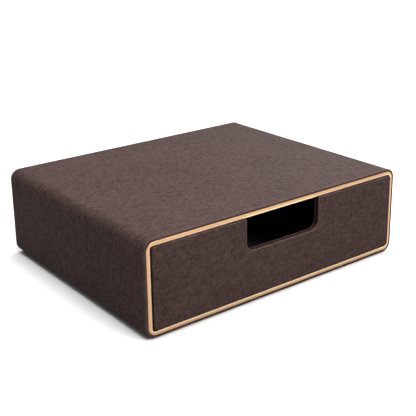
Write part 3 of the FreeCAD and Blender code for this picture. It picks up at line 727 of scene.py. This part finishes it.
def make_trim():
    """The frame round the opening. Path: rounded rectangles whose corner radius falls evenly from the
    outer to the inner edge. Profile (inset, y): up the outer edge, over a bevel that rises like a quarter
    sine, across a crown that swells like a half sine, down the steeper inner bevel and back along the
    seat. The ridge where the crown meets the inner bevel is marked for a painted highlight, and the
    inner side, down in the gap, for painted shade."""
    form = chosen("form")
    low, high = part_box("front_trim")
    width = high.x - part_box("case_lining_right")[0].x
    crown, seat = low.y, high.y
    edge = seat - form.trim_edge
    bevel, inner_bevel, swell = form.trim_bevel, 0.5 * form.trim_bevel, form.trim_swell
    cut, wear_highlight_reach = 0.15 * MM, 1.3 * MM
    across, rise = np.linspace(0, 1, 9), np.linspace(0, 1, 5)
    climb = edge + (crown + swell - edge) * np.sin(QUARTER * rise)
    profile = chain(
        run((0, seat), (0, edge + cut), 2),
        arc((cut, edge + cut), cut, pi, QUARTER, 3),
        np.column_stack([cut + (bevel - cut) * rise, climb]),
        np.column_stack([bevel + (width - bevel - inner_bevel) * across,
                         crown + swell - swell * np.sin(pi * across)]),
        np.column_stack([width - cut - (inner_bevel - cut) * rise, climb])[::-1],
        arc((width - cut, edge + cut), cut, -QUARTER, QUARTER, 3),
        run((width, edge + cut), (width, seat), 2))
    inset, y = profile.T
    outer_corner = form.case_corner - (low.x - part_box("case_leather_wrap")[0].x)
    radii = outer_corner + (form.trim_corner - outer_corner) * inset / width
    loop = Loop(corner_steps=12, wide_steps=60, high_steps=16)
    x, z = loop.rings(high.x, low.z, high.z, inset, radii)
    middle = len(profile) // 3
    # Painted highlight along the inner ridge.
    marks = fading(np.abs(width - inner_bevel - inset), wear_highlight_reach, full=1.3) * (y < edge + cut)
    # Painted shade on the inner side, down in the gap.
    marks[inset > width - 1.01 * cut] = -1.0
    mesh = Skin()
    mesh.add_grid(surface(x, y[:, None], z), along(np.column_stack([x[middle], z[middle]]), True),
                  along(profile, True), marks, close_path=True, close_profile=True)
    mesh.make("trim_band", "case", "gilt_trim", "front_trim")


# The thin axis of each velvet sheet, and the way along it that the face looks.
SHEETS = {"floor": (2, 1), "ceiling": (2, -1), "left": (0, 1), "right": (0, -1), "back": (1, -1)}


def make_pile_sheet(name, node, body):
    """A glued sheet of velvet on the side that its name ends with. The face is a grid over the sheet whose
    height above the back is the thickness times the square root of 1 - (1 - d)^2, where d is the distance
    to the rim in rim widths, at most 1, less a slow unevenness; the back is the same grid laid flat, and
    both share the rim."""
    rim, cell, unevenness = 0.12 * MM, 9 * MM, 0.18
    thin_axis, facing = SHEETS[name.split("_")[-1]]
    low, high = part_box(node)
    axes = [axis for axis in range(3) if axis != thin_axis]
    lines = []
    for axis in axes:
        span = high[axis] - low[axis]
        near = rim * np.array([0, 0.06, 0.2, 0.45, 0.75])
        middle = np.linspace(rim, span - rim, max(6, int(span / cell)) + 1)
        lines.append(low[axis] + np.concatenate([near, middle, span - near[::-1]]))
    a, b = np.meshgrid(*lines, indexing="ij")
    distance = np.minimum.reduce([a - lines[0][0], lines[0][-1] - a, b - lines[1][0], lines[1][-1] - b])
    d = np.clip(distance / rim, 0, 1)
    height = (high[thin_axis] - low[thin_axis]) * np.sqrt(np.clip(1 - (1 - d) ** 2, 0, 1))
    height = height * (1 - unevenness * stretch_marks(a, b, seed=len(name)))
    back = low[thin_axis] if facing > 0 else high[thin_axis]
    handed = -1 if thin_axis == 1 else 1
    mesh = Skin()
    for lift, flip in ((height, handed * facing > 0), (np.zeros_like(height), handed * facing < 0)):
        sheet = [a, b]
        sheet.insert(thin_axis, back + facing * lift)
        mesh.add_grid(surface(*sheet), lines[1], lines[0], flip=flip)
    mesh.make(name, body, "black_velvet", node, weld=True)


def make_case_linings():
    """Velvet on the floor, ceiling, sides and back of the case."""
    for side in SHEETS:
        make_pile_sheet(f"case_velvet_{side}", f"case_lining_{side}", "case")


def make_base_felt():
    """Felt under the case. Path: a rectangle with rounded corners, seen from above."""
    roll = 0.3 * MM
    home = 1.3 * roll
    low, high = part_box("base_cloth")
    felt_corner = chosen("form").felt_corner
    path, outward = corner_path(rectangle(low.x, high.x, low.y, high.y, felt_corner), corner_steps=8,
                                spacing=6 * MM)
    profile = chain([(home, low.z)], arc((roll, low.z + roll), roll, -QUARTER, -QUARTER, 4),
                    [(0, high.z), (home, high.z)])
    x, z, y = carry(path, outward, profile)
    points = surface(x, y, z)
    mesh = Skin()
    mesh.add_grid(points, along(path, True), along(profile), close_path=True)
    mesh.cap_rims(points, [0, 1])
    mesh.make("base_felt_sheet", "case", "base_felt", "base_cloth")


# ---- Pieces of the drawer ----

def notched_top(low, high, corner, shoulder, grow=0.0):
    """Corners (x, z, radius) of the drawer's top edge from right to left, with the finger notch in it,
    whose size is read from the strip that lines it and may be grown by a margin."""
    hair = 0.05 * MM
    spots = np.array([vertex.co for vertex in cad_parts["drawer_front_wall_leather"].data.vertices])
    off_middle = np.abs(spots[:, 0])
    half = off_middle[spots[:, 2] > spots[:, 2].max() - hair].min() + grow
    bottom = spots[off_middle < off_middle.min() + hair, 2].max() - grow
    notch_corner = chosen("form").notch_corner + grow
    return [(high.x, high.z, corner), (half, high.z, shoulder), (half, bottom, notch_corner),
            (-half, bottom, notch_corner), (-half, high.z, shoulder), (low.x, high.z, corner)]


def make_drawer_front():
    """Leather on the drawer front. Path: its outline with the finger notch. Profile: over the rolled
    edge from the face to the back. Its rim is painted paler as wear and a painted highlight, most at the
    notch, and its back edge gets painted shade where it meets the tray."""
    outline_wear_highlight, below = 0.15, 1 * MM
    form = chosen("form")
    low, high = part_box("drawer_front_leather")
    corner, shoulder = form.panel_corner, form.notch_shoulder
    top = notched_top(low, high, corner, shoulder)
    path, outward = corner_path([(high.x, low.z, corner), *top, (low.x, low.z, corner)],
                                corner_steps=10, spacing=6 * MM)
    half, bottom = top[2][:2]
    # Wear and painted highlight are strongest round the notch.
    at_notch = (np.abs(path[:, 0]) < half + shoulder) & (path[:, 1] > bottom - below)
    flat_panel(path, outward, low.y, high.y, form.edge_roll, -1, form.crease,
               outline_wear_highlight + (1 - outline_wear_highlight) * at_notch).make(
        "drawer_front_skin", "drawer", "brown_leather", "drawer_front_leather", "drawer_front_board")


def make_front_wall_strip():
    """Leather over the tray's front wall. Path: along its top edge and round the notch. Profile: the
    flat strip with both of its long edges rolled and painted paler as wear and a painted highlight, with
    painted shade where it meets the drawer front."""
    crease_shade_reach, wear_and_highlight = 1.0 * MM, 0.8
    form = chosen("form")
    low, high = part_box("drawer_front_wall_leather")
    path, outward = corner_path(notched_top(low, high, 0, form.notch_shoulder), corner_steps=8,
                                spacing=6 * MM, closed=False)
    roll, thick = form.tray_roll, form.tray_skin
    profile = chain([(thick, low.y)],
                    arc((roll, low.y + roll), roll, -QUARTER, -QUARTER, 5),
                    run((0, low.y + roll), (0, high.y - roll), 3),
                    arc((roll, high.y - roll), roll, pi, -QUARTER, 5),
                    [(thick, high.y)])
    inset, y = profile.T
    # Painted shade in the groove where the strip meets the drawer front.
    crease = fading(y - low.y, crease_shade_reach, full=1.4)
    mesh = Skin()
    mesh.add_grid(surface(*carry(path, outward, profile)), along(path), along(profile, True),
                  wear_and_highlight * fading(inset, roll) * (crease == 0) - crease, close_profile=True, flip=True)
    mesh.cap_ends(profile, len(path))
    mesh.make("drawer_front_wall_skin", "drawer", "brown_leather", "drawer_front_wall_leather")


def make_tray_skin():
    """Leather outside the tray. Path: from the front end of one side round the rear to the other, in
    plan; across and back move the centre of its rounding, whose direction t turns a quarter in each rear
    corner. Profile (inset, z): up the outside from the rounded lower edge, over the rolled top of the
    wall to its inner edge and back down inside; a second shell closes the bottom."""
    form = chosen("form")
    low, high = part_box("drawer_leather")
    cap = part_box("drawer_left_wall")[1].x - low.x
    skin, roll, lower = form.tray_skin, form.tray_roll, form.tray_edge
    profile = chain(
        arc((lower, low.z + lower), lower, -QUARTER, -QUARTER, 5),
        run((0, low.z + lower), (0, high.z - roll), 14),
        arc((roll, high.z - roll), roll, pi, -QUARTER, 5),
        run((roll, high.z), (cap - roll, high.z), 2),
        arc((cap - roll, high.z - roll), roll, QUARTER, -QUARTER, 5),
        [(cap, high.z - skin), (skin, high.z - skin), (skin, low.z + skin), (lower, low.z + skin)])
    inset, z = profile.T[..., None]
    corner, tightest = 1.2 * MM, 0.1 * MM
    corner_steps, side_steps, rear_steps = 6, 40, 50
    across, back, quarters = legs(
        (1, 0, 0), (side_steps, 1, 1, 0), (corner_steps, 1, 1, 1), (rear_steps, -1, 1, 1),
        (corner_steps, -1, 1, 2), (side_steps, -1, 0, 2)).T
    t = quarters * QUARTER
    radii = np.maximum(corner - inset, tightest)
    x = across * (high.x - inset - radii) + radii * np.cos(t)
    y = low.y + back * (high.y - inset - radii - low.y) + radii * np.sin(t)
    u, v = along(np.column_stack([x[0], y[0]])), along(profile, True)
    still, below, above, slack_share, wear_highlight_reach, wear_and_highlight = 0.01 * MM, 4 * MM, 3 * MM, 0.7, 1.0 * MM, 0.6
    outside = (inset < still) & (z > low.z + below) & (z < high.z - above)
    sag = slack_share * form.slack * stretch_marks(u, z, seed=23) * outside
    mesh = Skin()
    # Wear and painted highlight along the rolled top of the walls.
    mesh.add_grid(surface(x - sag * np.cos(t), y - sag * np.sin(t), z), u, v,
                  wear_and_highlight * fading(np.abs(z - high.z), wear_highlight_reach), close_profile=True)
    mesh.cap_ends(profile, len(t), flip=True)
    add_plate(mesh, Vector((low.x + lower, low.y, low.z)),
              Vector((high.x - lower, high.y - lower, low.z + skin)))
    mesh.make("drawer_tray_skin", "drawer", "brown_leather", "drawer_leather")


def add_plate(mesh, low, high):
    """A flat plate between two corners: a closed ring of four upright sides, shut above and below."""
    ring = np.array([(high.x, low.y), (high.x, high.y), (low.x, high.y), (low.x, low.y)])
    heights = np.array([low.z, high.z])
    points = surface(ring[:, 0], ring[:, 1], heights[:, None])
    mesh.add_grid(points, along(ring, True), heights, close_path=True)
    mesh.cap_rims(points, [0, 1])


def make_tray_linings():
    """Velvet on the floor and walls of the tray; the front sheet has the notch."""
    for side in ("floor", "left", "right", "back"):
        make_pile_sheet(f"tray_velvet_{side}", f"drawer_lining_{side}", "drawer")
    corner, roll = 0.6 * MM, 0.3 * MM
    low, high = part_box("drawer_lining_front")
    top = notched_top(low, high, corner, corner, grow=chosen("form").tray_skin)
    path, outward = corner_path([(high.x, low.z, corner), *top, (low.x, low.z, corner)],
                                corner_steps=8, spacing=8 * MM)
    flat_panel(path, outward, low.y, high.y, roll, 1).make(
        "tray_velvet_front", "drawer", "black_velvet", "drawer_lining_front")


def finish_boards():
    """Fibreboard on the packed boards, which keep their own shape."""
    for name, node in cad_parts.items():
        if name.endswith(("_board", "_wall")):
            node.data.materials.clear()
            node.data.materials.append(board_material())


# ---- Studio ----

@material_named("studio_floor")
def floor_material(tree):
    """Matt and pale, and paler with distance, as the light falls off."""
    fade_start, fade_end, mottle = 1.0, 3.0, 1.02
    place, studio = object_place(tree), chosen("studio")
    pale, far = (studio.floor,) * 3, (studio.far_floor,) * 3
    patches = noise(tree, place, scale=3.0, detail=2.0)
    near = mix_colours(tree, patches, pale, scaled_colour(pale, mottle))
    distance = add_node(tree, "VectorMath", {0: place}, operation="LENGTH")["Value"]
    return {"Base Color": mix_colours(tree, remap(tree, distance, fade_start, fade_end), near, far),
            "Roughness": 1.0, "Specular IOR Level": 0.0}


def make_floor():
    """A square floor, far wider than the view."""
    half = 12.0
    corners = [(-half, -half, 0), (half, -half, 0), (half, half, 0), (-half, half, 0)]
    mesh = bpy.data.meshes.new("studio_floor")
    mesh.from_pydata(corners, [], [(0, 1, 2, 3)])
    mesh.materials.append(floor_material())
    floor = bpy.data.objects.new("studio_floor", mesh)
    bpy.context.scene.collection.objects.link(floor)


def make_lights(settings):
    """Five soft rectangular lights, each (setting and name, width, depth, place, point that it faces)."""
    middle = (0, 0, 0.05)
    for name, width, depth, place, target in (
            ("ceiling_light", 1.6, 1.6, (0, 0, 1.7), middle),
            ("overhead_light", 0.7, 0.7, (-0.1, 0, 1.8), (-0.1, 0, 0)),
            ("front_light", 1.6, 1.0, (0.4, -1.6, 1.6), middle),
            ("side_light", 1.8, 1.4, (2.2, 1.0, 1.0), middle),
            ("far_light", 3.0, 2.0, (0.8, 3.4, 1.9), (0.8, 3.4, 0))):
        light = bpy.data.lights.new(name, "AREA")
        light.shape = "RECTANGLE"
        light.size, light.size_y = width, depth
        light.energy = getattr(settings, name)
        lamp = bpy.data.objects.new(name, light)
        lamp.location = place
        lamp.rotation_mode = "QUATERNION"
        lamp.rotation_quaternion = (Vector(target) - Vector(place)).to_track_quat("-Z", "Y")
        bpy.context.scene.collection.objects.link(lamp)


def make_camera(settings):
    """The camera, turned by azimuth, elevation and roll and moved back from the point it looks at."""
    data = bpy.data.cameras.new("studio_camera")
    data.sensor_width = SENSOR_WIDTH_MM
    data.lens = settings.focal_px / FRAME_SIDE_PX * SENSOR_WIDTH_MM
    data.shift_y = -settings.drop_px / FRAME_SIDE_PX
    data.clip_start, data.clip_end = 0.01, 60.0
    camera = bpy.data.objects.new("studio_camera", data)
    camera.matrix_world = (Matrix.Translation((settings.look_right, 0, settings.look_up))
                           @ Matrix.Rotation(settings.azimuth, 4, "Z")
                           @ Matrix.Rotation(QUARTER - settings.elevation, 4, "X")
                           @ Matrix.Rotation(settings.roll, 4, "Z")
                           @ Matrix.Translation((0, 0, settings.distance)))
    bpy.context.scene.collection.objects.link(camera)
    bpy.context.scene.camera = camera


def make_studio():
    """Floor, surround, lights and camera."""
    settings = chosen("studio")
    make_floor()
    world = bpy.data.worlds.new("studio_surround")
    world.use_nodes = True
    give(world.node_tree, world.node_tree.nodes["Background"], {"Color": (settings.surround,) * 3})
    bpy.context.scene.world = world
    make_lights(settings)
    make_camera(settings)
    bpy.context.scene.view_settings.view_transform = "Standard"


# ---- Operators, panel and registration ----

class Maker:
    """What every operator of this add-on shares: it runs its maker functions and finishes."""
    bl_options = {"REGISTER", "UNDO"}
    makers = ()

    def execute(self, context):
        for maker in self.makers:
            maker()
        return {"FINISHED"}


class FILEBOX_OT_case_leather(Maker, bpy.types.Operator):
    """Wrap the case in leather and cover its rear panel"""
    bl_idname = "filebox.case_leather"
    bl_label = "Case leather"
    makers = (make_case_wrap, make_case_back)


class FILEBOX_OT_trim(Maker, bpy.types.Operator):
    """Lay the gilt trim round the opening"""
    bl_idname = "filebox.trim"
    bl_label = "Trim"
    makers = (make_trim,)


class FILEBOX_OT_drawer_front(Maker, bpy.types.Operator):
    """Cover the drawer front and line its finger notch"""
    bl_idname = "filebox.drawer_front"
    bl_label = "Drawer front"
    makers = (make_drawer_front, make_front_wall_strip)


class FILEBOX_OT_tray_leather(Maker, bpy.types.Operator):
    """Cover the outside of the drawer's tray"""
    bl_idname = "filebox.tray_leather"
    bl_label = "Tray leather"
    makers = (make_tray_skin,)


class FILEBOX_OT_linings(Maker, bpy.types.Operator):
    """Line the case and the tray with velvet"""
    bl_idname = "filebox.linings"
    bl_label = "Velvet linings"
    makers = (make_case_linings, make_tray_linings)


class FILEBOX_OT_base_felt(Maker, bpy.types.Operator):
    """Lay the felt under the case"""
    bl_idname = "filebox.base_felt"
    bl_label = "Base felt"
    makers = (make_base_felt,)


class FILEBOX_OT_boards(Maker, bpy.types.Operator):
    """Give the boards under the skins their fibreboard finish"""
    bl_idname = "filebox.boards"
    bl_label = "Boards"
    makers = (finish_boards,)


class FILEBOX_OT_studio(Maker, bpy.types.Operator):
    """Set up the floor, lights and camera"""
    bl_idname = "filebox.studio"
    bl_label = "Studio"
    makers = (make_studio,)


OPERATORS = (FILEBOX_OT_studio, FILEBOX_OT_boards, FILEBOX_OT_case_leather, FILEBOX_OT_trim,
             FILEBOX_OT_drawer_front, FILEBOX_OT_tray_leather, FILEBOX_OT_linings, FILEBOX_OT_base_felt)
SETTINGS = {"file_box_form": FormSettings, "file_box_leather": LeatherSettings,
            "file_box_trim": TrimSettings, "file_box_cloth": ClothSettings,
            "file_box_studio": StudioSettings}


class FILEBOX_PT_panel(bpy.types.Panel):
    """Settings and steps of the file box's finish"""
    bl_idname = "FILEBOX_PT_panel"
    bl_label = "File Box"
    bl_space_type = "VIEW_3D"
    bl_region_type = "UI"
    bl_category = "File Box"

    def draw(self, context):
        for name, group in SETTINGS.items():
            box = self.layout.box()
            box.label(text=group.__doc__)
            for entry in group.__annotations__:
                box.prop(getattr(context.scene, name), entry)
        for operator in OPERATORS:
            self.layout.operator(operator.bl_idname)


CLASSES = (*SETTINGS.values(), *OPERATORS, FILEBOX_PT_panel)


def register():
    """Register the classes and hang the settings on the scene."""
    for registered in CLASSES:
        bpy.utils.register_class(registered)
    for name, group in SETTINGS.items():
        setattr(bpy.types.Scene, name, PointerProperty(type=group))


def unregister():
    """Take off the settings and the classes, last first."""
    for name in SETTINGS:
        delattr(bpy.types.Scene, name)
    for registered in reversed(CLASSES):
        bpy.utils.unregister_class(registered)


def main():
    """Run every step in order."""
    register()
    bpy.ops.filebox.studio()
    bpy.ops.filebox.boards()
    bpy.ops.filebox.case_leather()
    bpy.ops.filebox.trim()
    bpy.ops.filebox.drawer_front()
    bpy.ops.filebox.tray_leather()
    bpy.ops.filebox.linings()
    bpy.ops.filebox.base_felt()


if __name__ == "__main__":
    main()
